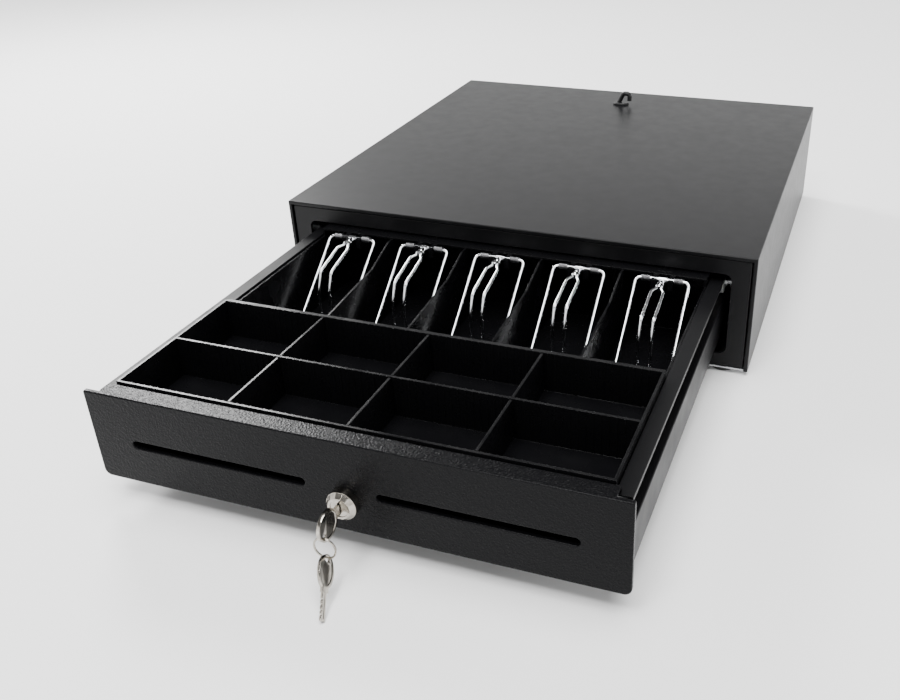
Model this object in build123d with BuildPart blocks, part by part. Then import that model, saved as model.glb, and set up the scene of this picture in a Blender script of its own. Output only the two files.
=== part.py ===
"""Cash drawer: sheet steel case, sliding drawer on rollers, bill and coin till, cam lock, keys, latch.

Millimetres, +Z up. The drawer slides along Y and faces -Y. The origin is the centre of the whole object's
box, drawer open and keys hanging, on the surface that it stands on.
"""
from build123d import *
from math import cos, radians, sin
import os

os.makedirs("parts", exist_ok=True)

# ---------------------------------------------------------------- driving dimensions
case_width = 410.0
case_depth = 415.0
case_height = 100.0
foot_height = 4.0
sheet = 1.2
travel = 286.0
panel_width = 366.0
panel_bottom, panel_top = 18.0, 85.0
panel_thick = 3.0
opening_half = 186.0
opening_bottom, opening_top = 16.6, 87.4
drawer_length = 366.0
pan_half = 170.0
pan_sheet = 1.0
flange_half = 179.4
flange_top = 80.2
lock_x, lock_z = 3.0, 42.0
bill_count = 5
bill_pitch = 67.6
coin_columns = 4
coin_pitch = 84.2
key_lean = 21.5
key_drop = 30.3
key_turn = 27.0
key_length = 40.0
key_thick = 1.5
ring_radius = 7.2
ring_wire = 0.65

# ---------------------------------------------------------------- places worked out from them
key_hole_y = -28.0
lean_cos, lean_sin = cos(radians(key_lean)), sin(radians(key_lean))
drop_cos, drop_sin = cos(radians(key_drop)), sin(radians(key_drop))
turn_cos, turn_sin = cos(radians(key_turn)), sin(radians(key_turn))
tip_low = 0.6
tip_side_y = lean_cos * drop_sin * turn_cos + lean_sin * turn_sin
tip_face_y = lean_sin * turn_cos - lean_cos * drop_sin * turn_sin
key_2_reach = (-key_hole_y + key_length * drop_cos * lean_cos + tip_low * tip_side_y
               + key_thick / 2 * tip_face_y)
screw_head = 1.4
front = (travel + key_2_reach - case_depth - screw_head) / 2
rear = front + case_depth
panel = front - travel
pan_back = panel + drawer_length
case_half = case_width / 2
case_bottom = foot_height
case_top = foot_height + case_height
floor_top = case_bottom + sheet
pan_floor = 20.0
rim = 86.0
bill_centres = [(i - (bill_count - 1) / 2) * bill_pitch for i in range(bill_count)]
divider_xs = [(i - (bill_count - 2) / 2) * bill_pitch for i in range(bill_count - 1)]
column_xs = [(i - (coin_columns - 2) / 2) * coin_pitch for i in range(coin_columns - 1)]
sides = {"left": -1, "right": 1}


def block(x0, x1, y0, y1, z0, z1, mode=Mode.ADD):
    """A box between two corners, in the part being built."""
    with Locations(((x0 + x1) / 2, (y0 + y1) / 2, (z0 + z1) / 2)):
        Box(abs(x1 - x0), abs(y1 - y0), abs(z1 - z0), mode=mode)


def rod_x(radius, x0, x1, y, z, mode=Mode.ADD):
    """A round bar along X."""
    with Locations(Location(((x0 + x1) / 2, y, z), (0, 90, 0))):
        Cylinder(radius, abs(x1 - x0), mode=mode)


def rod_y(radius, x, y0, y1, z, mode=Mode.ADD):
    """A round bar along Y."""
    with Locations(Location((x, (y0 + y1) / 2, z), (90, 0, 0))):
        Cylinder(radius, abs(y1 - y0), mode=mode)


def rod_z(radius, x, y, z0, z1, mode=Mode.ADD):
    """A round bar along Z."""
    with Locations((x, y, (z0 + z1) / 2)):
        Cylinder(radius, abs(z1 - z0), mode=mode)


def facing(y):
    """The upright plane at y, seen from the front: X to the right, Z up, extruding towards -Y."""
    return Plane(origin=(0, y, 0), x_dir=(1, 0, 0), z_dir=(0, -1, 0))


def side_on(x):
    """The upright plane at x, drawn with Y across and Z up, extruding towards +X."""
    return Plane(origin=(x, 0, 0), x_dir=(0, 1, 0), z_dir=(1, 0, 0))


def write(part, name):
    """Labels a finished piece and writes its STEP."""
    part.label = name
    export_step(part, f"parts/{name}.step")


# ---------------------------------------------------------------- case: cover
lip = 3.4
rear_lip = 12.0
guide_y = rear - 48.0
rear_screws = [(-150.0, case_top - 7.0), (150.0, case_top - 7.0), (-198.0, 50.0), (198.0, 50.0)]

with BuildPart() as top_cover:
    with BuildSketch(facing(front)):
        with Locations((0, (case_bottom + case_top) / 2)):
            Rectangle(case_width, case_height)
        with Locations((0, (case_bottom + case_top - sheet) / 2)):
            Rectangle(case_width - 2 * sheet, case_height - sheet, mode=Mode.SUBTRACT)
    extrude(amount=-case_depth)
    for lip_front, lip_width in ((front, lip), (rear - sheet, rear_lip)):
        with BuildSketch(facing(lip_front)):
            with Locations((0, (case_bottom + case_top) / 2)):
                Rectangle(case_width, case_height)
            with Locations((0, (case_bottom + case_top - lip_width) / 2)):
                Rectangle(case_width - 2 * lip_width, case_height - lip_width, mode=Mode.SUBTRACT)
        extrude(amount=-sheet)
    top_long = top_cover.edges().filter_by(Axis.Y).group_by(Axis.Z)[-1]
    fillet(top_long, 1.1)
    front_rim = top_cover.faces().sort_by(Axis.Y)[0].outer_wire().edges()
    fillet(front_rim.filter_by(lambda e: e.center().Z > case_bottom + 1 and e.length > 50), 0.9)
    for screw_x, screw_z in rear_screws:
        rod_y(2.2, screw_x, rear - 3, rear + 1, screw_z, Mode.SUBTRACT)
    rod_z(3.2, 0, guide_y, case_top - 3, case_top + 1, Mode.SUBTRACT)
write(top_cover.part, "top_cover")

# ---------------------------------------------------------------- case: base and back, one folded sheet
foot_spots = [(x, y) for x in (-183.0, 183.0) for y in (front + 14.0, rear - 16.0)]
base_half = case_half - sheet - 0.3
back_inner = rear - 2 * sheet - 0.2
jack_x, jack_z = 150.0, 36.0

with BuildPart() as base_pan:
    block(-base_half, base_half, front + 1.3, back_inner + sheet, case_bottom, floor_top)
    block(-base_half, base_half, back_inner, back_inner + sheet, floor_top, case_top - sheet - 0.3)
    for s in sides.values():
        block(s * (base_half - sheet), s * base_half, front + 18, back_inner, floor_top, 20)
    block(-180, 180, front + 4.6, front + 4.6 + sheet, floor_top, 15.6)
    for foot_x, foot_y in foot_spots:
        rod_z(2.1, foot_x, foot_y, 0, 10, Mode.SUBTRACT)
    for screw_x, screw_z in rear_screws:
        rod_y(2.2, screw_x, rear - 6, rear, screw_z, Mode.SUBTRACT)
    block(jack_x - 7, jack_x + 7, rear - 6, rear, jack_z - 7, jack_z + 7, Mode.SUBTRACT)
write(base_pan.part, "base_pan")

# ---------------------------------------------------------------- case: front bezel
bezel_half = case_half - lip - 0.7
bezel_bottom, bezel_top = case_bottom + sheet + 0.4, case_top - lip - 0.7
bezel_front = front + 1.6
bezel_thick = 1.6

with BuildPart() as front_bezel:
    with BuildSketch(facing(bezel_front)):
        with Locations((0, (bezel_bottom + bezel_top) / 2)):
            RectangleRounded(2 * bezel_half, bezel_top - bezel_bottom, 1.2)
        with Locations((0, (opening_bottom + opening_top) / 2)):
            RectangleRounded(2 * opening_half, opening_top - opening_bottom, 6, mode=Mode.SUBTRACT)
    extrude(amount=-bezel_thick)
    with BuildSketch(facing(bezel_front)):
        with Locations((0, (opening_bottom + opening_top) / 2)):
            RectangleRounded(2 * (opening_half + sheet), opening_top - opening_bottom + 2 * sheet, 7)
            RectangleRounded(2 * opening_half, opening_top - opening_bottom, 6, mode=Mode.SUBTRACT)
    extrude(amount=-2.8)
    outer = front_bezel.faces().sort_by(Axis.Y)[0]
    fillet(outer.outer_wire().edges(), 0.8)
    for s in sides.values():
        block(s * (bezel_half - sheet), s * bezel_half, bezel_front + bezel_thick, front + 16, 22, 96)
write(front_bezel.part, "front_bezel")

# ---------------------------------------------------------------- case: inner walls, rails, front rollers
wall_in, wall_out = 194.6, 195.8
rail_web = 193.4
rail_tip = 183.4
rail_z = 45.0
channel_half = 9.0
rail_front, rail_back = front + 20, front + 372
front_roller_y, front_roller_z, front_roller_r = front + 29, 68.6, 10.2
rear_roller_y, rear_roller_r = front + 70, 8.7
stop_y = rear_roller_y - rear_roller_r - 0.5

for side, s in sides.items():
    with BuildPart() as inner_wall:
        block(s * wall_in, s * wall_out, front + 17, rail_back, floor_top, 92)
        block(s * wall_out, s * 201.8, front + 19, rail_back, floor_top, floor_top + sheet)
        rod_x(3.05, s * 190, s * 200, front_roller_y, front_roller_z, Mode.SUBTRACT)
    write(inner_wall.part, f"{side}_inner_wall")

    with BuildPart() as case_rail:
        with BuildSketch(facing(rail_front)):
            with Locations((s * (rail_tip + wall_in) / 2, rail_z)):
                Rectangle(wall_in - rail_tip, 2 * (channel_half + sheet))
            with Locations((s * (rail_tip + rail_web) / 2, rail_z)):
                Rectangle(rail_web - rail_tip, 2 * channel_half, mode=Mode.SUBTRACT)
        extrude(amount=-(rail_back - rail_front))
        block(s * 187, s * rail_web, stop_y - 1.4, stop_y, rail_z - channel_half, rail_z + channel_half)
    write(case_rail.part, f"{side}_case_rail")

    with BuildPart() as front_roller:
        rod_x(front_roller_r, s * 171.1, s * 177.5, front_roller_y, front_roller_z)
        fillet(front_roller.edges().filter_by(GeomType.CIRCLE), 0.8)
        rod_x(3.06, s * 165, s * 180, front_roller_y, front_roller_z, Mode.SUBTRACT)
    write(front_roller.part, f"{side}_front_roller")

    with BuildPart() as rear_roller:
        rod_x(rear_roller_r, s * 184.6, s * 191.2, rear_roller_y, rail_z)
        fillet(rear_roller.edges().filter_by(GeomType.CIRCLE), 0.7)
        rod_x(2.56, s * 180, s * 195, rear_roller_y, rail_z, Mode.SUBTRACT)
    write(rear_roller.part, f"{side}_rear_roller")

with BuildPart() as front_roller_axles:
    for s in sides.values():
        rod_x(3.0, s * 170.6, s * (wall_out + 1.6), front_roller_y, front_roller_z)
        rod_x(4.4, s * 170.6, s * 171.0, front_roller_y, front_roller_z)
        rod_x(4.6, s * 177.7, s * 179.2, front_roller_y, front_roller_z)
        rod_x(5.0, s * wall_out, s * (wall_out + 1.6), front_roller_y, front_roller_z)
write(front_roller_axles.part, "front_roller_axles")

# ---------------------------------------------------------------- case: feet, screws, cable guide, jack
foot_radius = 11.0
with BuildPart() as rubber_feet:
    for foot_x, foot_y in foot_spots:
        with Locations((foot_x, foot_y, foot_height / 2)):
            Cone(foot_radius - 0.8, foot_radius, foot_height)
        rod_z(4.2, foot_x, foot_y, 0, 2.2, Mode.SUBTRACT)
        rod_z(2.1, foot_x, foot_y, 0, foot_height, Mode.SUBTRACT)
write(rubber_feet.part, "rubber_feet")

with BuildPart() as feet_screws:
    for foot_x, foot_y in foot_spots:
        rod_z(3.6, foot_x, foot_y, 0.8, 2.2)
        rod_z(1.95, foot_x, foot_y, 2.2, floor_top + 4)
write(feet_screws.part, "feet_screws")

with BuildPart() as cover_screws:
    for screw_x, screw_z in rear_screws:
        rod_y(3.8, screw_x, rear, rear + screw_head, screw_z)
        rod_y(2.0, screw_x, rear - 9, rear, screw_z)
        with Locations((screw_x, rear + 1.2, screw_z)):
            Box(3.6, 1.0, 0.7, mode=Mode.SUBTRACT)
            Box(0.7, 1.0, 3.6, mode=Mode.SUBTRACT)
write(cover_screws.part, "cover_screws")

# a moulded plug on the cover with a hook that holds the printer's lead
guide_x = -1.5
guide_rise = 12.2
with BuildPart() as cable_guide:
    rod_z(3.0, 0, guide_y, case_top - 4, case_top)
    with BuildSketch(Plane.XY.offset(case_top)):
        with Locations((guide_x, guide_y)):
            Ellipse(8.8, 6.6)
    extrude(amount=2.2)
    fillet(cable_guide.edges().group_by(Axis.Z)[-1], 1.0)
    with BuildLine() as hook_line:
        FilletPolyline(
            (guide_x - 2.5, guide_y, case_top + 1.2), (guide_x + 2.6, guide_y, case_top + guide_rise),
            (guide_x + 9.6, guide_y, case_top + guide_rise), (guide_x + 9.6, guide_y, case_top + 4.6),
            radius=2.9,
        )
    with BuildSketch(Plane(origin=hook_line.line @ 0, z_dir=hook_line.line % 0)):
        Ellipse(2.4, 2.8)
    sweep(path=hook_line.line)
write(cable_guide.part, "cable_guide")

with BuildPart() as cable_jack:
    block(jack_x - 6.8, jack_x + 6.8, rear - 20, rear - 1.4, jack_z - 6.8, jack_z + 6.8)
    block(jack_x - 9, jack_x + 9, back_inner - 2.0, back_inner - 0.2, jack_z - 9, jack_z + 9)
    block(jack_x - 4.8, jack_x + 4.8, rear - 13, rear, jack_z - 3.4, jack_z + 3.4, Mode.SUBTRACT)
    block(jack_x - 1.6, jack_x + 1.6, rear - 13, rear, jack_z - 5.2, jack_z - 3.4, Mode.SUBTRACT)
write(cable_jack.part, "cable_jack")

# ---------------------------------------------------------------- case: latch and solenoid at the back
latch_pin_y, latch_pin_z = front + 405.5, 44.0
plunger_y = front + 391.0
ear_in, ear_out = 8.4, 10.0

with BuildPart() as latch_bracket:
    block(-16, 16, front + 371, front + 411, floor_top, 6.8)
    for s in sides.values():
        block(s * ear_in, s * ear_out, front + 400.4, front + 411, 6.8, 50)
    rod_x(2.05, -14, 14, latch_pin_y, latch_pin_z, Mode.SUBTRACT)
write(latch_bracket.part, "latch_bracket")

with BuildPart() as latch_pivot_pin:
    rod_x(2.0, -11.2, 11.2, latch_pin_y, latch_pin_z)
    for s in sides.values():
        rod_x(3.0, s * 10.2, s * 11.6, latch_pin_y, latch_pin_z)
write(latch_pivot_pin.part, "latch_pivot_pin")

with BuildPart() as latch_lever:
    block(-6.4, 6.4, front + 378.6, latch_pin_y, 43, 45)
    rod_x(4.0, -7.8, 7.8, latch_pin_y, latch_pin_z)
    with BuildSketch(side_on(-5)):
        with BuildLine():
            Polyline((front + 378.6, 45), (front + 382.4, 53.6), (front + 384.4, 53.6),
                     (front + 384.4, 45), close=True)
        make_face()
    extrude(amount=10)
    rod_x(2.06, -10, 10, latch_pin_y, latch_pin_z, Mode.SUBTRACT)
    rod_z(2.5, 0, plunger_y, 40, 48, Mode.SUBTRACT)
write(latch_lever.part, "latch_lever")

with BuildPart() as solenoid_frame:
    block(-10, 10, front + 383, front + 399, 6.8, 34)
    block(-8.4, 8.4, front + 382, front + 400, 8.4, 32.4, Mode.SUBTRACT)
    rod_z(3.3, 0, plunger_y, 30, 36, Mode.SUBTRACT)
write(solenoid_frame.part, "solenoid_frame")

with BuildPart() as solenoid_coil:
    rod_z(6.8, 0, plunger_y, 10, 31)
    for z in (8.6, 30.8):
        rod_z(7.8, 0, plunger_y, z, z + 1.4)
    rod_z(3.3, 0, plunger_y, 8, 33, Mode.SUBTRACT)
write(solenoid_coil.part, "solenoid_coil")

with BuildPart() as solenoid_plunger:
    rod_z(3.22, 0, plunger_y, 13, 41.5)
    rod_z(5.2, 0, plunger_y, 40.0, 41.0)
    rod_z(1.6, 0, plunger_y, 41.5, 45.6)
    rod_z(3.4, 0, plunger_y, 45.5, 47.4)
write(solenoid_plunger.part, "solenoid_plunger")


def coil(radius, wire, length, turns, plane):
    """A round-wire helical spring that starts at the plane's origin and rises along its normal."""
    with BuildPart() as spring:
        with BuildLine() as path:
            Helix(pitch=length / turns, height=length, radius=radius)
        with BuildSketch(Plane(origin=path.line @ 0, z_dir=path.line % 0)):
            Circle(wire)
        sweep(path=path.line)
    return spring.part.moved(plane.location)


latch_spring = coil(4.3, 0.4, 4.8, 4, Plane(origin=(0, plunger_y, 34.6), z_dir=(0, 0, 1)))
write(latch_spring, "latch_spring")

# ---------------------------------------------------------------- case: spring that kicks the drawer open
push_x, push_z = 70.0, 50.0
push_stroke = 30.0
push_closed = pan_back + travel + 0.3
push_open = push_closed - push_stroke

with BuildPart() as push_rod:
    rod_y(3.5, push_x, push_closed + 6, back_inner, push_z)
    rod_y(9.0, push_x, back_inner - 1.6, back_inner, push_z)
write(push_rod.part, "push_rod")

with BuildPart() as pusher:
    rod_y(5.4, push_x, push_open, push_open + 43, push_z)
    rod_y(9.0, push_x, push_open, push_open + 3, push_z)
    rod_y(3.58, push_x, push_open + 4, push_open + 50, push_z, Mode.SUBTRACT)
    fillet(pusher.faces().sort_by(Axis.Y)[0].edges(), 0.8)
write(pusher.part, "pusher")

push_spring = coil(7.2, 0.7, back_inner - 2.6 - (push_open + 4.0), 13,
                   Plane(origin=(push_x, push_open + 4.0, push_z), z_dir=(0, 1, 0)))
write(push_spring, "push_spring")

# the lock's cam drops behind this angle plate when the closed drawer is locked
cam_y = panel + 23.4
with BuildPart() as lock_keeper:
    block(-10, 16, cam_y + travel - 2.4, cam_y + travel - 0.8, floor_top, 16.4)
    block(-10, 16, cam_y + travel - 14, cam_y + travel - 0.8, floor_top, 6.8)
write(lock_keeper.part, "lock_keeper")

# ---------------------------------------------------------------- drawer: pan
pan_front = panel + panel_thick
with BuildPart() as drawer_pan:
    block(-pan_half, pan_half, pan_front, pan_back, pan_floor - pan_sheet, pan_floor)
    block(-pan_half, pan_half, pan_back - pan_sheet, pan_back, pan_floor, 72)
    block(-150, 150, pan_front, pan_front + pan_sheet, pan_floor, 26)
    for s in sides.values():
        block(s * (pan_half - pan_sheet), s * pan_half, pan_front + 8, pan_back, pan_floor, flange_top)
        block(s * (pan_half - pan_sheet), s * flange_half, pan_front + 8, pan_back,
              flange_top - pan_sheet, flange_top)
        block(s * (flange_half - pan_sheet), s * flange_half, pan_front + 8, pan_back, flange_top - 3,
              flange_top)
        edge = drawer_pan.edges().filter_by(Axis.Y).filter_by(
            lambda e: abs(e.center().X - s * flange_half) < 0.01 and e.center().Z > flange_top - 0.1)
        fillet(edge, 0.7)
    block(-4, 31, cam_y - 2, cam_y + 4, pan_floor - 2, pan_floor + 1, Mode.SUBTRACT)
write(drawer_pan.part, "drawer_pan")

# ---------------------------------------------------------------- drawer: front panel with two media slots
slot_length, slot_height, slot_z = 128.0, 5.6, 49.2
slot_xs = (-88.5, 88.5)
flange_back = panel + 13.4
with BuildPart() as drawer_front:
    with BuildSketch(facing(panel)):
        with Locations((0, (panel_bottom + panel_top) / 2)):
            Rectangle(panel_width, panel_top - panel_bottom)
    extrude(amount=-panel_thick)
    fillet(drawer_front.edges().filter_by(Axis.Y).group_by(Axis.Z)[0], 5)
    fillet(drawer_front.edges().filter_by(Axis.Y).group_by(Axis.Z)[-1], 1.2)
    fillet(drawer_front.faces().sort_by(Axis.Y)[0].outer_wire().edges(), 0.9)
    block(-172, 172, pan_front, flange_back, panel_top - sheet, panel_top)
    block(-172, 172, flange_back - sheet, flange_back, panel_top - 4.4, panel_top)
    rear_bend = drawer_front.edges().filter_by(Axis.X).filter_by(
        lambda e: abs(e.center().Y - flange_back) < 0.01 and e.center().Z > panel_top - 0.1)
    fillet(rear_bend, 0.9)
    with BuildSketch(facing(panel - 1)):
        with Locations(*[(x, slot_z) for x in slot_xs]):
            SlotOverall(slot_length, slot_height)
        with Locations((lock_x, lock_z)):
            Circle(8.1)
    extrude(amount=-(panel_thick + 2), mode=Mode.SUBTRACT)
    slot_rims = drawer_front.faces().sort_by(Axis.Y)[0].inner_wires().filter_by(lambda w: w.length > 100)
    fillet(slot_rims.edges(), 0.8)
write(drawer_front.part, "drawer_front")

# ---------------------------------------------------------------- drawer: side rails and rear rollers
rail_lip = 1.2
rail_ledge = 58.0
for side, s in sides.items():
    with BuildPart() as drawer_rail:
        with BuildSketch(facing(pan_front + 0.2)):
            with BuildLine():
                Polyline(
                    (s * pan_half, 24), (s * (pan_half + rail_lip), 24),
                    (s * (pan_half + rail_lip), rail_ledge - rail_lip),
                    (s * (flange_half - rail_lip), rail_ledge - rail_lip),
                    (s * (flange_half - rail_lip), 28), (s * flange_half, 28),
                    (s * flange_half, rail_ledge), (s * pan_half, rail_ledge), close=True,
                )
            make_face()
        extrude(amount=-(drawer_length - panel_thick - 1.2))
        bend = drawer_rail.edges().filter_by(Axis.Y).filter_by(
            lambda e: abs(e.center().X - s * flange_half) < 0.01 and e.center().Z > rail_ledge - 0.1)
        fillet(bend, 1.0)
        rod_x(2.55, s * 176, s * 182, rear_roller_y, rail_z, Mode.SUBTRACT)
    write(drawer_rail.part, f"{side}_drawer_rail")

with BuildPart() as rear_roller_axles:
    for s in sides.values():
        rod_x(2.5, s * (flange_half - 3.2), s * 192.2, rear_roller_y, rail_z)
        rod_x(4.2, s * (flange_half - 3.2), s * (flange_half - rail_lip), rear_roller_y, rail_z)
        rod_x(4.0, s * flange_half, s * 184.4, rear_roller_y, rail_z)
        rod_x(4.0, s * 191.3, s * 192.2, rear_roller_y, rail_z)
write(rear_roller_axles.part, "rear_roller_axles")

# ---------------------------------------------------------------- drawer: moulded till for the bills
till_half = 168.2
wall = 1.6
till_bottom = 20.3
till_front = panel + 15.2
cross_y = front - 149.6
till_back = front + 22
deck_front = front - 8
deck_top = 85.6
pin_y = front + 11.7
shelf_bottom, shelf_top = 52.6, 54.2
pivot_y, pivot_z = front - 14, 83.4
clip_wire = 1.45
lug_in, lug_out = 4.6, 8.6

with BuildPart() as till:
    block(-till_half, till_half, cross_y, till_back, till_bottom, till_bottom + wall)
    block(-till_half, till_half, cross_y, cross_y + wall, till_bottom, deck_top)
    block(-till_half, till_half, till_back - wall, till_back, till_bottom, deck_top)
    block(-till_half, till_half, deck_front, till_back, deck_top - wall, deck_top)
    block(-till_half, till_half, till_front, cross_y, shelf_bottom, shelf_top)
    for s in sides.values():
        block(s * (till_half - wall), s * till_half, till_front, cross_y, till_bottom, shelf_bottom)
        block(s * (till_half - wall), s * till_half, cross_y, till_back, till_bottom, 78.6)
        block(s * (till_half - wall), s * till_half, deck_front, till_back, 78.6, deck_top)
    for x in divider_xs:
        with BuildSketch(side_on(x - wall / 2)):
            with BuildLine():
                Polyline(
                    (cross_y + wall / 2, till_bottom + wall / 2), (cross_y + wall / 2, 65),
                    (front - 46, 73.4), (front - 15, 84.2), (deck_front + 1, 84.2),
                    (till_back - wall / 2, 84.2), (till_back - wall / 2, till_bottom + wall / 2), close=True,
                )
            make_face()
        extrude(amount=wall)
    for x in bill_centres:
        for s in sides.values():
            block(x + s * lug_in, x + s * lug_out, pivot_y - 4, deck_front + 1, 76.5, 84.6)
        for slot_y in (front - 4.4, front + 3.2):
            block(x - 5.5, x + 5.5, slot_y - 0.6, slot_y + 0.6, deck_top - 0.7, deck_top + 1, Mode.SUBTRACT)
        rod_x(clip_wire + 0.08, x - 10, x + 10, pivot_y, pivot_z, Mode.SUBTRACT)
        rod_z(1.3, x, pin_y, deck_top - 3, deck_top + 1, Mode.SUBTRACT)
write(till.part, "till")

with BuildPart() as deck_screws:
    for x in bill_centres:
        rod_z(1.25, x, pin_y, deck_top - 6, deck_top)
        with Locations((x, pin_y, deck_top)):
            Cone(2.6, 1.4, 0.9, align=(Align.CENTER, Align.CENTER, Align.MIN))
write(deck_screws.part, "deck_screws")

# ---------------------------------------------------------------- coin tray that lifts out, with its dividers
coin_half = 168.4
coin_front, coin_back = panel + 15.0, cross_y - 0.5
coin_bottom = shelf_top + 0.2
rib = 0.45
rib_pitch = 5.0
rib_count = 64

with BuildPart() as coin_tray:
    block(-coin_half, coin_half, coin_front, coin_back, coin_bottom, rim)
    row_depth = (coin_back - coin_front - 3 * wall) / 2
    for row_y in (coin_front + wall + row_depth / 2, coin_back - wall - row_depth / 2):
        with BuildSketch(Plane.XY.offset(coin_bottom + wall)):
            with Locations((0, row_y)):
                Rectangle(2 * (coin_half - wall), row_depth)
            for edge_y in (row_y - row_depth / 2, row_y + row_depth / 2):
                with Locations((0, edge_y)):
                    with GridLocations(rib_pitch, 1, rib_count, 1):
                        Rectangle(2 * rib, 2 * rib, mode=Mode.SUBTRACT)
        extrude(amount=rim, mode=Mode.SUBTRACT)
write(coin_tray.part, "coin_tray")

with BuildPart() as coin_dividers:
    for x in column_xs:
        for row_y in (coin_front + wall + row_depth / 2, coin_back - wall - row_depth / 2):
            block(x - 0.8, x + 0.8, row_y - row_depth / 2 + 0.9, row_y + row_depth / 2 - 0.9,
                  coin_bottom + wall + 0.1, rim - 0.3)
write(coin_dividers.part, "coin_dividers")

# ---------------------------------------------------------------- bill clips
leg_angle = 39.0
leg_length = 94.4
leg_half = 21.0
clip_bend = 4.0
arm_wire = 1.25
hub_z = 82.2
arm_half = 4.8

for number, x in enumerate(bill_centres, start=1):
    leg_plane = Plane(origin=(x, pivot_y, pivot_z), x_dir=(1, 0, 0),
                      z_dir=(0, sin(radians(leg_angle)), -cos(radians(leg_angle))))
    with BuildPart() as clip_frame:
        with BuildLine(leg_plane) as frame_line:
            FilletPolyline((-2.0, 0), (-leg_half, 0), (-leg_half, leg_length), (leg_half, leg_length),
                           (leg_half, 0), (2.0, 0), radius=clip_bend)
        with BuildSketch(Plane(origin=frame_line.line @ 0, z_dir=frame_line.line % 0)):
            Circle(clip_wire)
        sweep(path=frame_line.line)
    write(clip_frame.part, f"bill_clip_{number}_frame")

    with BuildPart() as clip_fork:
        with BuildSketch(side_on(x)):
            with BuildLine():
                Polyline((front - 9.5, hub_z), (front - 9.5, hub_z + 1.6), (front - 22, hub_z + 2.9),
                         (front - 22.6, hub_z + 2.3), (front - 23.4, hub_z + 2.3),
                         (front - 23.8, hub_z + 3.2), (front - 26.2, hub_z + 3.2),
                         (front - 27.4, hub_z + 1.8), (front - 27.4, hub_z), close=True)
            make_face()
        revolve(axis=Axis((x, front, hub_z), (0, 1, 0)))
        rod_x(2.2, x - 3.2, x + 3.2, pivot_y, pivot_z)
        for s in sides.values():
            rod_x(clip_wire + 0.05, x + s * 1.9, x + s * 4, pivot_y, pivot_z, Mode.SUBTRACT)
            with BuildLine() as arm_line:
                FilletPolyline(
                    (x + s * 0.8, front - 25.4, hub_z), (x + s * arm_half, front - 31.6, hub_z - 0.8),
                    (x + s * arm_half, front - 62.5, 73.2), (x + s * arm_half, front - 69.0, 58.0),
                    (x + s * arm_half, front - 69.4, 23.6), radius=4.2,
                )
            with BuildSketch(Plane(origin=arm_line.line @ 0, z_dir=arm_line.line % 0)):
                Circle(arm_wire)
            sweep(path=arm_line.line)
    write(clip_fork.part, f"bill_clip_{number}_fork")

clip_coil = coil(2.1, 0.46, 7.2, 7, Plane(origin=(0, 0, 0), z_dir=(1, 0, 0)))
coil_starts = [x + dx for x in bill_centres for dx in (9.3, -16.5)]
bill_clip_springs = Compound([clip_coil.moved(Location((x, pivot_y, pivot_z))) for x in coil_starts])
write(bill_clip_springs, "bill_clip_springs")

# ---------------------------------------------------------------- drawer: strike for the latch
strike_y = pan_back
with BuildPart() as latch_strike:
    block(-12, 12, strike_y, strike_y + 24.6, 49.6, 51.2)
    block(-12, 12, strike_y, strike_y + 1.6, 40, 51.2)
    block(-7, 7, strike_y + 11.4, strike_y + 19.6, 48, 53, Mode.SUBTRACT)
write(latch_strike.part, "latch_strike")

# ---------------------------------------------------------------- cam lock
head_front = panel - 8.6
barrel_back = panel + 23.0
plug_radius = 6.0
with BuildPart() as lock_body:
    rod_y(7.9, lock_x, panel, barrel_back, lock_z)
    rod_y(10.1, lock_x, panel - 5.6, panel, lock_z)
    fillet(lock_body.edges().filter_by(GeomType.CIRCLE).group_by(Axis.Y)[-2], 0.3)
    for facet_y, facet_radius in ((panel - 5.6, 10.1), (head_front, 7.7)):
        with BuildSketch(facing(facet_y)):
            with Locations((lock_x, lock_z)):
                RegularPolygon(facet_radius, 14)
    loft()
    rod_y(plug_radius + 0.05, lock_x, head_front - 1, barrel_back + 1, lock_z, Mode.SUBTRACT)
write(lock_body.part, "lock_body")

with BuildPart() as lock_nut:
    with BuildSketch(facing(pan_front)):
        with Locations((lock_x, lock_z)):
            RegularPolygon(11.0, 6, rotation=0)
            Circle(7.95, mode=Mode.SUBTRACT)
    extrude(amount=-4)
write(lock_nut.part, "lock_nut")

key_slot_half = 0.95
with BuildPart() as lock_plug:
    rod_y(plug_radius, lock_x, head_front + 0.5, barrel_back + 0.2, lock_z)
    rod_y(3.9, lock_x, barrel_back, barrel_back + 4.4, lock_z)
    block(lock_x - key_slot_half, lock_x + key_slot_half, head_front - 1, panel + 16, lock_z - 4.2,
          lock_z + 4.2, Mode.SUBTRACT)
write(lock_plug.part, "lock_plug")

cam_length = 32.0
with BuildPart() as lock_cam:
    with BuildSketch(facing(cam_y)):
        with Locations((lock_x, lock_z)):
            Circle(7.2)
        with Locations((lock_x + (cam_length - 4) / 2, lock_z)):
            Rectangle(cam_length - 4, 8)
        with Locations((lock_x + cam_length - 4, lock_z)):
            Circle(4)
        with Locations((lock_x, lock_z)):
            Circle(3.95, mode=Mode.SUBTRACT)
    extrude(amount=-2)
write(lock_cam.part, "lock_cam")

with BuildPart() as cam_nut:
    with BuildSketch(facing(cam_y + 2)):
        with Locations((lock_x, lock_z)):
            RegularPolygon(6.2, 6)
            Circle(3.95, mode=Mode.SUBTRACT)
    extrude(amount=-2.2)
write(cam_nut.part, "cam_nut")

# ---------------------------------------------------------------- keys and their ring
hole_radius = 2.1
bow_y = panel - 22.5
key_hole_z = 36.5
key_hole = (lock_x, panel + key_hole_y, key_hole_z)

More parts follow.
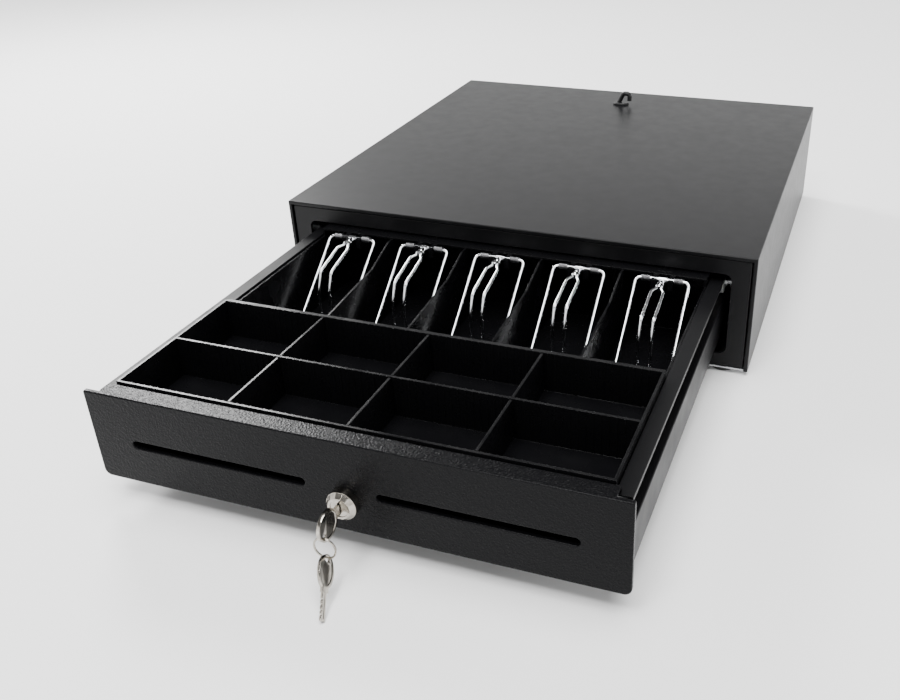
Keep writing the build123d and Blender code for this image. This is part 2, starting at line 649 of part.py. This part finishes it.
with BuildPart() as key_1:
    with BuildSketch(side_on(lock_x - key_thick / 2)):
        with Locations((bow_y, lock_z - 1)):
            Ellipse(10.6, 10.0)
    extrude(amount=key_thick)
    fillet(key_1.faces().filter_by(Axis.X).edges(), 0.4)
    block(lock_x - key_thick / 2, lock_x + key_thick / 2, bow_y + 8, head_front - 0.4,
          lock_z - 3.6, lock_z + 3.6)
    with BuildSketch(side_on(lock_x - key_thick / 2)):
        with BuildLine():
            Polyline((head_front - 1, lock_z - 3.8), (panel + 14, lock_z - 3.8), (panel + 15.4, lock_z - 1),
                     (panel + 14, lock_z + 2.2), (panel + 9, lock_z + 2.2), (panel + 8, lock_z + 3.0),
                     (panel + 4, lock_z + 2.0), (panel, lock_z + 3.4), (head_front - 1, lock_z + 3.8),
                     close=True)
        make_face()
    extrude(amount=key_thick)
    rod_x(hole_radius, lock_x - 3, lock_x + 3, key_hole[1], key_hole[2], Mode.SUBTRACT)
write(key_1.part, "key_1")

ring_z = key_hole_z - hole_radius + ring_wire + 0.12 - ring_radius
with BuildPart() as key_ring:
    with Locations(Location((lock_x, key_hole[1], ring_z), (90, 0, 0))):
        Torus(ring_radius, ring_wire)
write(key_ring.part, "key_ring")

# the spare key hangs from the ring and leans forward until its tip stands on the table
hang = (lock_x, key_hole[1], ring_z - ring_radius)
down = Vector(lean_sin * drop_cos, -lean_cos * drop_cos, -drop_sin)
rise = Vector(lean_sin * drop_sin, -lean_cos * drop_sin, drop_cos)
flat_normal = Vector(lean_cos, lean_sin, 0) * turn_cos + rise * turn_sin
spare_plane = Plane(origin=Vector(*hang) - flat_normal * (key_thick / 2), x_dir=down, z_dir=flat_normal)
spare_hole = 1.0
blade_start = 17.5
spare_tip = key_length

with BuildPart() as key_2:
    with BuildSketch(spare_plane):
        with Locations((8.8, 0)):
            Ellipse(10.4, 6.8)
    extrude(amount=key_thick)
    fillet(key_2.faces().filter_by(Axis(hang, flat_normal)).edges(), 0.4)
    with BuildSketch(spare_plane):
        with Locations((19.0, 0)):
            Rectangle(5, 5.4)
    extrude(amount=key_thick)
    with BuildSketch(spare_plane):
        with BuildLine():
            Polyline((blade_start, -2.2), (spare_tip - 3, -2.2), (spare_tip, -tip_low), (spare_tip - 2, 1.4),
                     (spare_tip - 7, 1.4), (spare_tip - 8.5, 2.2), (spare_tip - 12, 1.2),
                     (spare_tip - 15, 2.2), (blade_start, 2.2), close=True)
        make_face()
    extrude(amount=key_thick)
    with BuildSketch(spare_plane.offset(-1)):
        with Locations((spare_hole, 0)):
            Circle(hole_radius)
    extrude(amount=key_thick + 2, mode=Mode.SUBTRACT)
write(key_2.part, "key_2")
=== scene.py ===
from math import cos, radians, sin

import bpy
from mathutils import Matrix, Vector


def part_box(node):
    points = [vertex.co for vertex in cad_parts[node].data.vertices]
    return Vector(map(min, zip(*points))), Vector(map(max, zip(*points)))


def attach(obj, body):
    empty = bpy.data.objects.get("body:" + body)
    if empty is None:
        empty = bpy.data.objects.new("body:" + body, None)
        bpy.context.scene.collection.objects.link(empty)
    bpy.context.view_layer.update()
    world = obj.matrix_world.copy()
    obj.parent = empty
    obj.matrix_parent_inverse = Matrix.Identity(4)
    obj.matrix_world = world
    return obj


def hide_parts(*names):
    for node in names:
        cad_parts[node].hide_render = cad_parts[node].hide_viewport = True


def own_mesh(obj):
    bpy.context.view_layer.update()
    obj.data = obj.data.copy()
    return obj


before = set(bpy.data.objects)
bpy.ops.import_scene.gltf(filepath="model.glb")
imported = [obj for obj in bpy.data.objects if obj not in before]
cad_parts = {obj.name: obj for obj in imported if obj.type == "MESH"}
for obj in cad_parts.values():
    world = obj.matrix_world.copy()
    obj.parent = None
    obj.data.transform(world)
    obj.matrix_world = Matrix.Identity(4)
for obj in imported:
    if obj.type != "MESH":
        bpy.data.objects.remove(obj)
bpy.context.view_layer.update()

# ---- The room: a pale table top that runs off on every side, a camera above and to the right of the open
# drawer, a sky that is bright only low down, as a paper backdrop is, and soft lamps. The black coat then shows
# long even reflections on the case and dark ones on the drawer's front.
bpy.ops.object.select_all(action="DESELECT")

bpy.ops.mesh.primitive_plane_add(size=80, location=(0, 0, 0))
table = bpy.context.object
table.name = "table"
table_paint = bpy.data.materials.new("table_paint")
table_paint.use_nodes = True
table_shader = table_paint.node_tree.nodes["Principled BSDF"]
table_shader.inputs["Base Color"].default_value = (0.9, 0.9, 0.9, 1)
table_shader.inputs["Roughness"].default_value = 0.75
table.data.materials.append(table_paint)

camera_turn, camera_dip, camera_roll = radians(19.765), radians(29.353), radians(-1.036)
look = Vector((-sin(camera_turn) * cos(camera_dip), cos(camera_turn) * cos(camera_dip), -sin(camera_dip)))
level_right = look.cross(Vector((0, 0, 1))).normalized()
level_up = level_right.cross(look)
camera_right = level_right * cos(camera_roll) + level_up * sin(camera_roll)
camera_up = level_up * cos(camera_roll) - level_right * sin(camera_roll)
lens = bpy.data.cameras.new("camera")
lens.lens = 39.326
lens.sensor_width = 36
lens.shift_x = -0.0987
lens.shift_y = -0.0182
lens.clip_start = 0.01
camera = bpy.data.objects.new("camera", lens)
bpy.context.scene.collection.objects.link(camera)
camera.matrix_world = Matrix((camera_right, camera_up, -look)).transposed().to_4x4()
camera.location = (0.27547, -0.72574, 0.4223)
bpy.context.scene.camera = camera

backdrop_top, sky_start = 0.3, 0.55
backdrop_light, sky_light = 1.9, 0.16
world = bpy.data.worlds.new("room")
world.use_nodes = True
room_nodes, room_links = world.node_tree.nodes, world.node_tree.links
room_light = room_nodes["Background"]
room_light.inputs["Color"].default_value = (1, 1, 1, 1)
sky_place = room_nodes.new("ShaderNodeTexCoord")
sky_parts = room_nodes.new("ShaderNodeSeparateXYZ")
sky_fall = room_nodes.new("ShaderNodeMapRange")
sky_fall.interpolation_type = "SMOOTHSTEP"
sky_fall.inputs["From Min"].default_value = backdrop_top
sky_fall.inputs["From Max"].default_value = sky_start
sky_fall.inputs["To Min"].default_value = backdrop_light
sky_fall.inputs["To Max"].default_value = sky_light
room_links.new(sky_place.outputs["Generated"], sky_parts.inputs["Vector"])
room_links.new(sky_parts.outputs["Z"], sky_fall.inputs["Value"])
room_links.new(sky_fall.outputs["Result"], room_light.inputs["Strength"])
bpy.context.scene.world = world


def lamp(name, place, target, width, height, power):
    """A flat soft lamp that faces a target."""
    light = bpy.data.lights.new(name, "AREA")
    light.shape = "RECTANGLE"
    light.size, light.size_y = width, height
    light.energy = power
    holder = bpy.data.objects.new(name, light)
    bpy.context.scene.collection.objects.link(holder)
    holder.location = place
    holder.rotation_euler = (Vector(target) - Vector(place)).to_track_quat("-Z", "Y").to_euler()


lamp("back_left_lamp", (-1.15, 0.75, 0.95), (-0.15, -0.3, 0.05), 0.5, 0.45, 30)
lamp("right_lamp", (1.6, 0.5, 0.35), (0.2, 0.15, 0.05), 0.8, 0.4, 7)
lamp("front_lamp", (-0.2, -1.35, 2.1), (0, -0.3, 0.05), 0.6, 0.35, 24)
overhead = bpy.data.lights.new("overhead", "SUN")
overhead.energy = 5.5
overhead.angle = radians(50)
overhead_holder = bpy.data.objects.new("overhead", overhead)
bpy.context.scene.collection.objects.link(overhead_holder)
overhead_holder.rotation_euler = (radians(4), radians(3), 0)


# ---- The case: folded sheet steel under a black powder coat, which dries to a fine orange peel. The cover is
# one piece, bent over the sides and returned round the front edge. It is screwed to the base at the back.
def finish(name, colour, roughness, metal=0.0, gloss=0.5):
    """A material with one colour, still without its grain."""
    material = bpy.data.materials.new(name)
    material.use_nodes = True
    shader = material.node_tree.nodes["Principled BSDF"]
    shader.inputs["Base Color"].default_value = (*colour, 1)
    shader.inputs["Roughness"].default_value = roughness
    shader.inputs["Metallic"].default_value = metal
    shader.inputs["Specular IOR Level"].default_value = gloss
    return material


def grain(material, size, detail=2.0, stretch=(1, 1, 1)):
    """A noise pattern whose grains are about the given size in metres."""
    nodes, links = material.node_tree.nodes, material.node_tree.links
    place = nodes.new("ShaderNodeTexCoord")
    mapping = nodes.new("ShaderNodeMapping")
    mapping.inputs["Scale"].default_value = stretch
    noise = nodes.new("ShaderNodeTexNoise")
    noise.inputs["Scale"].default_value = 1 / size
    noise.inputs["Detail"].default_value = detail
    links.new(place.outputs["Object"], mapping.inputs["Vector"])
    links.new(mapping.outputs["Vector"], noise.inputs["Vector"])
    return noise.outputs["Fac"]


def spread(material, pattern, low, high, start=0.3, stop=0.7):
    """The pattern as a number between low and high."""
    nodes, links = material.node_tree.nodes, material.node_tree.links
    fit = nodes.new("ShaderNodeMapRange")
    fit.inputs["From Min"].default_value = start
    fit.inputs["From Max"].default_value = stop
    fit.inputs["To Min"].default_value = low
    fit.inputs["To Max"].default_value = high
    links.new(pattern, fit.inputs["Value"])
    return fit.outputs["Result"]


def dullness(material, pattern, low, high):
    """Roughness that follows a pattern, from low to high."""
    shader = material.node_tree.nodes["Principled BSDF"]
    material.node_tree.links.new(spread(material, pattern, low, high), shader.inputs["Roughness"])


def relief(material, *layers, rounding=0.0):
    """Bumps from (pattern, height in metres) layers, over edges softened by a small radius."""
    nodes, links = material.node_tree.nodes, material.node_tree.links
    normal = None
    if rounding:
        soft = nodes.new("ShaderNodeBevel")
        soft.samples = 4
        soft.inputs["Radius"].default_value = rounding
        normal = soft.outputs["Normal"]
    for pattern, height in layers:
        bump = nodes.new("ShaderNodeBump")
        bump.inputs["Strength"].default_value = 1.0
        bump.inputs["Distance"].default_value = height
        links.new(pattern, bump.inputs["Height"])
        if normal:
            links.new(normal, bump.inputs["Normal"])
        normal = bump.outputs["Normal"]
    links.new(normal, nodes["Principled BSDF"].inputs["Normal"])


def tone(material, pattern, dark, light):
    """The pattern as a colour between dark and light."""
    nodes, links = material.node_tree.nodes, material.node_tree.links
    mix = nodes.new("ShaderNodeMix")
    mix.data_type = "RGBA"
    first_colour, second_colour, mixed_colour = mix.inputs[6], mix.inputs[7], mix.outputs[2]
    first_colour.default_value = (*dark, 1)
    second_colour.default_value = (*light, 1)
    links.new(pattern, mix.inputs["Factor"])
    links.new(mixed_colour, nodes["Principled BSDF"].inputs["Base Color"])


def worn_edges(material, radius, amount=1.0):
    """High along sharp corners, where a coat is thin and rubbed, and broken up by a little noise."""
    nodes, links = material.node_tree.nodes, material.node_tree.links
    soft = nodes.new("ShaderNodeBevel")
    soft.samples = 4
    soft.inputs["Radius"].default_value = radius
    flat = nodes.new("ShaderNodeNewGeometry")
    dot = nodes.new("ShaderNodeVectorMath")
    dot.operation = "DOT_PRODUCT"
    links.new(soft.outputs["Normal"], dot.inputs[0])
    links.new(flat.outputs["Normal"], dot.inputs[1])
    edge = spread(material, dot.outputs["Value"], amount, 0.0, 0.75, 0.995)
    patch = spread(material, grain(material, 0.009, 4), 0.25, 1.0, 0.38, 0.62)
    both = nodes.new("ShaderNodeMath")
    both.operation = "MULTIPLY"
    links.new(edge, both.inputs[0])
    links.new(patch, both.inputs[1])
    return both.outputs["Value"]


def dress(material, *names):
    """Gives CAD nodes a material."""
    for name in names:
        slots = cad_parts[name].material_slots
        for slot in slots:
            slot.material = material
        if not slots:
            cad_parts[name].data.materials.append(material)


coat_black, coat_rubbed = (0.004, 0.004, 0.0045), (0.02, 0.02, 0.021)
case_coat = finish("case_coat", coat_black, 0.34, gloss=0.16)
tone(case_coat, worn_edges(case_coat, 0.0009, 0.4), coat_black, coat_rubbed)
dullness(case_coat, grain(case_coat, 0.012, 4), 0.34, 0.38)
relief(case_coat, (grain(case_coat, 0.0009, 2), 0.00003), rounding=0.0004)
dress(case_coat, "top_cover", "front_bezel")

# ---- The base, back, inner walls and brackets: bare zinc plated steel, cut and folded, spot welded or
# screwed. The plating has a soft cloudy spangle and fine lines from the rolling mill.
zinc = finish("zinc", (0.55, 0.56, 0.57), 0.36, 1.0)
tone(zinc, spread(zinc, grain(zinc, 0.012, 3), 0, 1), (0.4, 0.41, 0.42), (0.62, 0.63, 0.64))
dullness(zinc, grain(zinc, 0.006, 4), 0.28, 0.46)
relief(zinc, (grain(zinc, 0.0006, 2, (1, 0.06, 1)), 0.00001), rounding=0.0003)
dress(zinc, "base_pan", "left_inner_wall", "right_inner_wall", "latch_bracket", "solenoid_frame", "latch_lever",
      "lock_keeper", "latch_strike", "lock_nut", "lock_cam", "cam_nut", "push_rod", "latch_pivot_pin")

# ---- Rails: cold rolled strip in C sections, riveted to the case. They are bright, and polished where the
# rollers run. The roller axles and the solenoid's plunger are turned from the same steel.
rail_steel = finish("rail_steel", (0.6, 0.61, 0.62), 0.3, 1.0)
tone(rail_steel, spread(rail_steel, grain(rail_steel, 0.02, 3, (1, 0.2, 1)), 0, 1), (0.48, 0.49, 0.5),
     (0.66, 0.67, 0.68))
dullness(rail_steel, grain(rail_steel, 0.002, 3, (1, 0.03, 1)), 0.22, 0.42)
relief(rail_steel, (grain(rail_steel, 0.0008, 2, (1, 0.02, 1)), 0.000012), rounding=0.0003)
dress(rail_steel, "left_case_rail", "right_case_rail", "front_roller_axles", "rear_roller_axles",
      "solenoid_plunger")

# ---- Rollers: turned acetal, off-white, with faint rings left by the tool and a little grey from the steel.
# Each runs loose on its axle.
roller_plastic = finish("roller_plastic", (0.7, 0.7, 0.67), 0.38)
roller_plastic.node_tree.nodes["Principled BSDF"].inputs["Subsurface Weight"].default_value = 0.08
tone(roller_plastic, spread(roller_plastic, grain(roller_plastic, 0.004, 4), 0, 1), (0.6, 0.6, 0.57),
     (0.74, 0.74, 0.71))
relief(roller_plastic, (grain(roller_plastic, 0.0006, 2, (2, 0.4, 0.4)), 0.00001), rounding=0.0003)
dress(roller_plastic, "left_front_roller", "right_front_roller", "left_rear_roller", "right_rear_roller")

# ---- Feet: moulded rubber discs held by a screw up the middle, dull with a light bloom and some dust.
rubber = finish("rubber", (0.02, 0.02, 0.02), 0.75)
tone(rubber, spread(rubber, grain(rubber, 0.003, 4), 0, 1), (0.014, 0.014, 0.014), (0.035, 0.034, 0.033))
relief(rubber, (grain(rubber, 0.0005, 3), 0.00003), rounding=0.0004)
dress(rubber, "rubber_feet")

# ---- Screws: steel with a black oxide finish, a little worn to grey. They hold the feet, the cover and the
# till's deck.
screw_black = finish("screw_black", (0.06, 0.06, 0.06), 0.35, 1.0)
tone(screw_black, spread(screw_black, grain(screw_black, 0.001, 3), 0, 1), (0.04, 0.04, 0.04), (0.1, 0.1, 0.1))
relief(screw_black, (grain(screw_black, 0.0004, 2), 0.00001), rounding=0.0002)
dress(screw_black, "feet_screws", "cover_screws", "deck_screws")

# ---- Solenoid winding: enamelled copper wire on its bobbin, one turn lying beside the next.
winding = finish("winding", (0.35, 0.12, 0.04), 0.32, 0.6)
one_turn = (0.05, 0.05, 1)
tone(winding, spread(winding, grain(winding, 0.0005, 1, one_turn), 0, 1), (0.2, 0.06, 0.02), (0.45, 0.17, 0.06))
relief(winding, (grain(winding, 0.0005, 1, one_turn), 0.0001))
dress(winding, "solenoid_coil")

# ---- Springs: drawn steel wire, wound. The sleeves on the bill clips stay as they are. The kick-open spring
# is pressed by the pusher as the drawer closes, and the plunger's spring as the latch lets go.
spring_wire = finish("spring_wire", (0.24, 0.24, 0.25), 0.3, 1.0)
tone(spring_wire, spread(spring_wire, grain(spring_wire, 0.002, 3), 0, 1), (0.17, 0.17, 0.175), (0.3, 0.3, 0.31))
relief(spring_wire, (grain(spring_wire, 0.0003, 2), 0.000006))
dress(spring_wire, "bill_clip_springs")

wire_smooth_angle = radians(50)
double_points = 0.000002


def working_spring(node, name):
    """A spring made from the CAD spring's own wire, fixed to the case where it stands."""
    bpy.ops.object.select_all(action="DESELECT")
    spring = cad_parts[node].copy()
    spring.data = spring.data.copy()
    bpy.context.scene.collection.objects.link(spring)
    spring.parent = None
    for label in list(spring.keys()):
        del spring[label]
    spring.name = name
    spring.select_set(True)
    bpy.context.view_layer.objects.active = spring
    bpy.ops.object.mode_set(mode="EDIT")
    bpy.ops.mesh.select_all(action="SELECT")
    bpy.ops.mesh.remove_doubles(threshold=double_points)
    bpy.ops.object.mode_set(mode="OBJECT")
    bpy.ops.object.shade_smooth_by_angle(angle=wire_smooth_angle)
    spring.data.materials.clear()
    spring.data.materials.append(spring_wire)
    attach(spring, "case")
    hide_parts(node)
    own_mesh(spring)


working_spring("push_spring", "kick_spring")
working_spring("latch_spring", "plunger_spring")

# ---- Cable guide, jack and pusher: small black mouldings with a fine matt grain. The guide is a hook on the
# case that keeps a printer's lead in place, and the pusher is a cap that slides on its rod.
moulded_black, moulded_rubbed = (0.008, 0.008, 0.0085), (0.02, 0.02, 0.02)
black_plastic = finish("black_plastic", moulded_black, 0.4, gloss=0.3)
tone(black_plastic, worn_edges(black_plastic, 0.0006, 0.6), moulded_black, moulded_rubbed)
relief(black_plastic, (grain(black_plastic, 0.0005, 3), 0.00002), rounding=0.0004)
dress(black_plastic, "cable_guide", "cable_jack", "pusher")

# ---- The drawer: a folded pan with flanged sides and its own rails, coated together with the same black as
# the case, and rubbed along the flanges where it slides.
drawer_coat = finish("drawer_coat", coat_black, 0.36, gloss=0.1)
tone(drawer_coat, worn_edges(drawer_coat, 0.0008, 0.6), coat_black, coat_rubbed)
dullness(drawer_coat, grain(drawer_coat, 0.03, 3), 0.34, 0.44)
relief(drawer_coat, (grain(drawer_coat, 0.0009, 2), 0.00003), rounding=0.0004)
dress(drawer_coat, "drawer_pan", "left_drawer_rail", "right_drawer_rail")

# ---- The drawer's front: a thick panel with two media slots and a bent top flange. Its coat is coarser, like
# fine leather, which hides finger marks.
front_black, cells_per_metre, cell_height = (0.0025, 0.0025, 0.003), 900, 0.00022
front_coat = finish("front_coat", front_black, 0.3, gloss=0.08)
tone(front_coat, worn_edges(front_coat, 0.0009, 0.8), front_black, coat_rubbed)
dullness(front_coat, grain(front_coat, 0.002, 3), 0.22, 0.3)
leather = front_coat.node_tree.nodes.new("ShaderNodeTexVoronoi")
leather.feature = "SMOOTH_F1"
leather.inputs["Scale"].default_value = cells_per_metre
leather.inputs["Randomness"].default_value = 1.0
leather_place = front_coat.node_tree.nodes.new("ShaderNodeTexCoord")
front_coat.node_tree.links.new(leather_place.outputs["Object"], leather.inputs["Vector"])
relief(front_coat, (leather.outputs["Distance"], cell_height), rounding=0.0006)
dress(front_coat, "drawer_front")

# ---- Till and coin tray: injection moulded black plastic with a gloss, uneven where notes and coins have rubbed
# it. Its flat walls are very slightly wavy, as thin mouldings are. The tray lifts out of the till.
till_black, till_rubbed = (0.003, 0.003, 0.0035), (0.009, 0.009, 0.0095)
till_plastic = finish("till_plastic", till_black, 0.22, gloss=0.16)
tone(till_plastic, worn_edges(till_plastic, 0.0007, 0.6), till_black, till_rubbed)
dullness(till_plastic, grain(till_plastic, 0.02, 4), 0.17, 0.34)
relief(till_plastic, (grain(till_plastic, 0.025, 1), 0.00015), (grain(till_plastic, 0.0007, 2), 0.000006),
       rounding=0.0005)
dress(till_plastic, "till", "coin_tray", "coin_dividers")

# ---- Bill clips: bent wire, chrome plated, each with a fork that presses the notes and a turned hub on a
# cross pin in the till's lugs.
clip_count = 5
chrome = finish("chrome", (0.82, 0.83, 0.85), 0.07, 1.0)
dullness(chrome, grain(chrome, 0.004, 4), 0.04, 0.13)
relief(chrome, (grain(chrome, 0.0015, 2), 0.000006))
for number in range(1, clip_count + 1):
    dress(chrome, f"bill_clip_{number}_frame", f"bill_clip_{number}_fork")

# ---- Lock: a die cast, faceted head and a plug with a keyway, nickel plated, with the faint warmth of nickel
# and a light bloom. A nut holds it in the front panel.
nickel = finish("nickel", (0.5, 0.47, 0.42), 0.16, 1.0)
tone(nickel, spread(nickel, grain(nickel, 0.003, 4), 0, 1), (0.36, 0.335, 0.295), (0.52, 0.49, 0.44))
dullness(nickel, grain(nickel, 0.0015, 4), 0.1, 0.2)
relief(nickel, (grain(nickel, 0.004, 2), 0.000006), rounding=0.0003)
dress(nickel, "lock_body", "lock_plug")

# ---- Keys: stamped brass blanks, nickel plated. Each bow has a raised rim round a sunk face and a hole for
# the ring, and each blade a milled groove down both sides and a row of cuts along one edge.
blade_thick, bow_thick, neck_thick = 0.0015, 0.0021, 0.0021 * 0.94
bow_rim, bow_sink = 0.0017, 0.00035
groove_edge, groove_depth = 0.0011, 0.00025
ring_hole, cut_half_width, cut_depth = 0.0021, 0.0012, 0.0012
through = 0.01
key_rounding, sharp_angle = 0.00018, radians(35)


def pick(piece, test):
    """Selects the faces of a piece that pass a test on (centre, normal), and leaves it in edit mode."""
    bpy.ops.object.mode_set(mode="EDIT")
    bpy.ops.mesh.select_mode(type="FACE")
    bpy.ops.mesh.select_all(action="DESELECT")
    bpy.ops.object.mode_set(mode="OBJECT")
    for face in piece.data.polygons:
        face.select = test(face.center, face.normal)
    bpy.ops.object.mode_set(mode="EDIT")


def sink(piece, edge, depth):
    """Sinks the two flat sides of a plate inside a raised edge."""
    for side in (1, -1):
        pick(piece, lambda centre, normal: normal.z * side > 0.9 and centre.z * side > 0)
        bpy.ops.mesh.inset(thickness=edge, depth=0)
        bpy.ops.mesh.inset(thickness=depth, depth=-depth)
        bpy.ops.object.mode_set(mode="OBJECT")


def combine(piece, other, operation):
    """Joins or cuts a piece with another, which is then thrown away."""
    step = piece.modifiers.new("combine", "BOOLEAN")
    step.operation = operation
    step.solver = "EXACT"
    step.object = other
    bpy.context.view_layer.objects.active = piece
    bpy.ops.object.modifier_apply(modifier=step.name)
    bpy.data.objects.remove(other)


def bar(x0, x1, y0, y1, thick):
    """A flat bar, lying in the plane of the key."""
    bpy.ops.object.select_all(action="DESELECT")
    bpy.ops.mesh.primitive_cube_add(size=1, location=((x0 + x1) / 2, (y0 + y1) / 2, 0))
    piece = bpy.context.object
    piece.scale = (x1 - x0, y1 - y0, thick)
    bpy.ops.object.transform_apply()
    return piece


def round_bar(x, y, half_x, half_y, thick, sides=64):
    """A round or oval plate, lying in the plane of the key."""
    bpy.ops.object.select_all(action="DESELECT")
    bpy.ops.mesh.primitive_cylinder_add(vertices=sides, radius=1, depth=1, location=(x, y, 0))
    piece = bpy.context.object
    piece.scale = (half_x, half_y, thick)
    bpy.ops.object.transform_apply()
    return piece


def axes(along, across, up, origin):
    """The matrix of a frame with these three axes and this origin."""
    turn = Matrix((along, across, up)).transposed().to_4x4()
    turn.translation = origin
    return turn


def settle(piece, name, place):
    """Puts a finished piece in its place, with that place in its mesh, and plates it with nickel."""
    piece.matrix_world = place
    bpy.ops.object.select_all(action="DESELECT")
    piece.select_set(True)
    bpy.context.view_layer.objects.active = piece
    bpy.ops.object.transform_apply()
    bpy.ops.object.shade_smooth_by_angle(angle=sharp_angle)
    piece.name = name
    piece.data.materials.clear()
    piece.data.materials.append(nickel)


def key(name, bow, blade, hole, collar, cuts, cut_edge, place):
    """A key. Its bow is (x, y, half length, half width), and its blade and collar are (x0, x1, y0, y1)."""
    piece = round_bar(*bow, bow_thick)
    sink(piece, bow_rim, bow_sink)
    combine(piece, bar(*collar, neck_thick), "UNION")
    shank = bar(*blade, blade_thick)
    sink(shank, groove_edge, groove_depth)
    for x in cuts:
        combine(shank, round_bar(x, cut_edge, cut_half_width, cut_depth, through, 4), "DIFFERENCE")
    combine(piece, shank, "UNION")
    combine(piece, round_bar(*hole, ring_hole, ring_hole, through, 40), "DIFFERENCE")
    softened = piece.modifiers.new("softened", "BEVEL")
    softened.width = key_rounding
    softened.segments = 2
    softened.limit_method = "ANGLE"
    softened.angle_limit = sharp_angle
    softened.use_clamp_overlap = True
    bpy.ops.object.modifier_apply(modifier=softened.name)
    settle(piece, name, place)
    return piece


low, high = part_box("key_1")
bow_y = low[1] + 0.0106
bow_z = high[2] - 0.010
blade_end = high[1] - bow_y
front_key = key("front_key", (0, 0, 0.0106, 0.0100), (0.008, blade_end, -0.0026, 0.0044), (-0.0055, -0.0045),
                (0.0082, 0.0136, -0.0026, 0.0046), (0.0295, 0.0325, 0.0355), 0.0046,
                axes((0, 1, 0), (0, 0, 1), (1, 0, 0), ((low[0] + high[0]) / 2, bow_y, bow_z)))
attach(front_key, "key_1")
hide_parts("key_1")

# ---- Key ring: flat spring wire wound twice round and plated, its two turns lying close together. Their ends
# stop just short of a full turn, where a key is threaded on.
low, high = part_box("key_ring")
ring_middle = [(a + b) / 2 for a, b in zip(low, high)]
cad_wire = 0.00065
ring_radius = (high[0] - low[0]) / 2 - cad_wire
wire_width, wire_height, wire_rounding = 0.0011, 0.00052, 0.00015
turn_rise, wound_degrees = 0.0006, 708
bpy.ops.object.select_all(action="DESELECT")
bpy.ops.mesh.primitive_plane_add(size=1, location=(0, 0, 0))
key_ring = bpy.context.object
key_ring.scale = (wire_width, wire_height, 1)
bpy.ops.object.transform_apply()
bpy.ops.object.mode_set(mode="EDIT")
bpy.ops.mesh.select_all(action="SELECT")
bpy.ops.mesh.bevel(offset=wire_rounding, segments=2, affect="VERTICES")
bpy.ops.transform.rotate(value=radians(90), orient_axis="X", center_override=(0, 0, 0))
bpy.ops.transform.translate(value=(ring_radius, 0, -turn_rise / 2))
bpy.ops.mesh.delete(type="ONLY_FACE")
bpy.ops.object.mode_set(mode="OBJECT")
winding_step = key_ring.modifiers.new("winding", "SCREW")
winding_step.angle = radians(wound_degrees)
winding_step.screw_offset = turn_rise * wound_degrees / 360
winding_step.steps = winding_step.render_steps = 160
winding_step.use_merge_vertices = False
bpy.ops.object.modifier_apply(modifier=winding_step.name)
bpy.ops.object.mode_set(mode="EDIT")
bpy.ops.mesh.select_mode(type="EDGE")
bpy.ops.mesh.select_all(action="DESELECT")
bpy.ops.mesh.select_non_manifold()
bpy.ops.mesh.fill_holes(sides=0)
bpy.ops.mesh.select_all(action="SELECT")
bpy.ops.mesh.normals_make_consistent(inside=False)
bpy.ops.object.mode_set(mode="OBJECT")
settle(key_ring, "split_ring", axes((1, 0, 0), (0, 0, 1), (0, -1, 0), ring_middle))
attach(key_ring, "key_ring")
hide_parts("key_ring")

# ---- Spare key: a blank of the same kind, hung from the ring, leaning forward until its tip is just over the
# table, and turned a little on its length.
key_lean, key_drop, key_turn = radians(21.5), radians(30.3), radians(27)
down = Vector((sin(key_lean) * cos(key_drop), -cos(key_lean) * cos(key_drop), -sin(key_drop)))
rise = Vector((sin(key_lean) * sin(key_drop), -cos(key_lean) * sin(key_drop), cos(key_drop)))
side = Vector((cos(key_lean), sin(key_lean), 0))
flat = side * cos(key_turn) + rise * sin(key_turn)
hang = Vector((ring_middle[0], ring_middle[1], ring_middle[2] - ring_radius))
spare_key = key("spare_key", (0.0088, 0, 0.0104, 0.0068), (0.0175, 0.0380, -0.0021, 0.0014), (0.001, 0),
                (0.0166, 0.0212, -0.0027, 0.0027), (0.0255, 0.0285, 0.0318, 0.0345, 0.0382), -0.0026,
                axes(down, flat.cross(down), flat, hang))
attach(spare_key, "key_2")
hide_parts("key_2")
